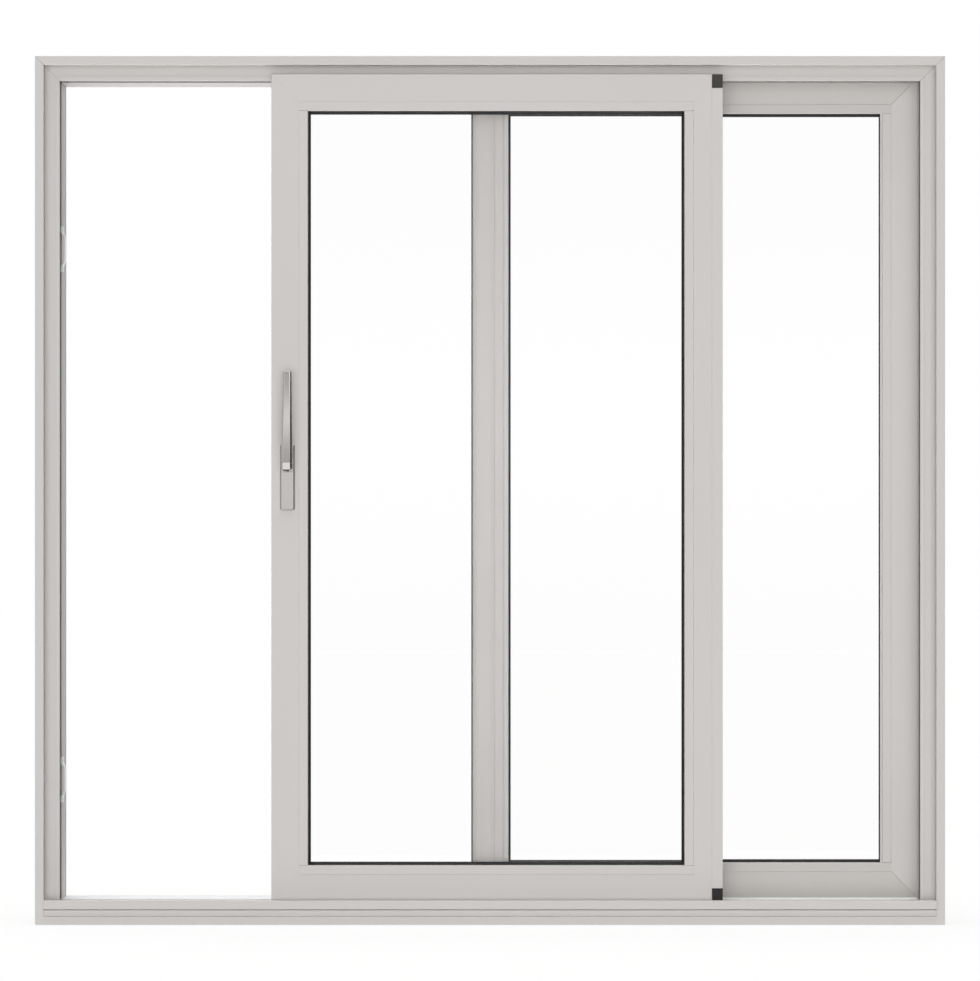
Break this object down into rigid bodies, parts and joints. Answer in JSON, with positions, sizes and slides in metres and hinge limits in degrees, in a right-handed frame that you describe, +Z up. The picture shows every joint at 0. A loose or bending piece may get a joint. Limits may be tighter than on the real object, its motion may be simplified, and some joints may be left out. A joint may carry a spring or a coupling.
{
  "type": "glass sliding patio door",
  "caption": "Wide sliding patio door: a stepped frame with a fixed glazed panel and a glazed sash that slides in front of it, with a lever handle.",
  "frame": {"origin": "middle of the sill's underside, on the face that stands in the wall opening", "axes": "+X to the right seen from the room, +Y outdoors, +Z up"},
  "size_m": [2.2, 0.244, 2.1],
  "materials": {
    "profile": "smooth pale grey frame profile, slightly satin",
    "glass": "clear float glass",
    "seal": "black glazing rubber",
    "spacer": "black warm edge spacer",
    "cap": "dark moulded plastic",
    "tread": "pale satin threshold plate",
    "aluminium": "extruded, satin",
    "steel": "plated steel strip",
    "nylon": "dark nylon",
    "handle_metal": "satin nickel look"
  },
  "bodies": {
    "frame": {"fixed_bead_bottom": "profile", "fixed_bead_left": "profile", "fixed_bead_right": "profile", "fixed_bead_top": "profile", "fixed_gaskets": "seal", "fixed_glass_inner": "glass", "fixed_glass_outer": "glass", "fixed_rail_bottom": "profile", "fixed_rail_top": "profile", "fixed_spacer": "spacer", "fixed_stile_left": "profile", "fixed_stile_right": "profile", "head": "profile", "head_filler": "profile", "head_guide": "aluminium", "jamb_left": "profile", "jamb_right": "profile", "keep_lower": "steel", "keep_upper": "steel", "meeting_seal": "seal", "sill": "profile", "threshold_nosing": "profile", "threshold_tread": "tread", "track_rail": "aluminium"},
    "sash": {"carriage_left": "nylon", "carriage_right": "nylon", "guide_shoes": "nylon", "handle_plate": "handle_metal", "interlock_cap_bottom": "cap", "interlock_cap_top": "cap", "interlock_cover": "profile", "lock_faceplate": "steel", "sash_bead_bottom": "profile", "sash_bead_left": "profile", "sash_bead_right": "profile", "sash_bead_top": "profile", "sash_gaskets": "seal", "sash_glass_inner": "glass", "sash_glass_outer": "glass", "sash_rail_bottom": "profile", "sash_rail_top": "profile", "sash_spacer": "spacer", "sash_stile_left": "profile", "sash_stile_right": "profile"},
    "handle": {"handle_lever": "handle_metal"}
  },
  "joints": [
    {"name": "sash_slide", "type": "slide", "parent": "frame", "child": "sash", "axis": [1, 0, 0], "range_m": [-0.5275, 0.487]},
    {"name": "handle_turn", "type": "hinge", "parent": "sash", "child": "handle", "pos_m": [-0.4895, -0.12, 1.109], "axis": [0, 1, 0], "range_deg": [0, 180]}
  ]
}
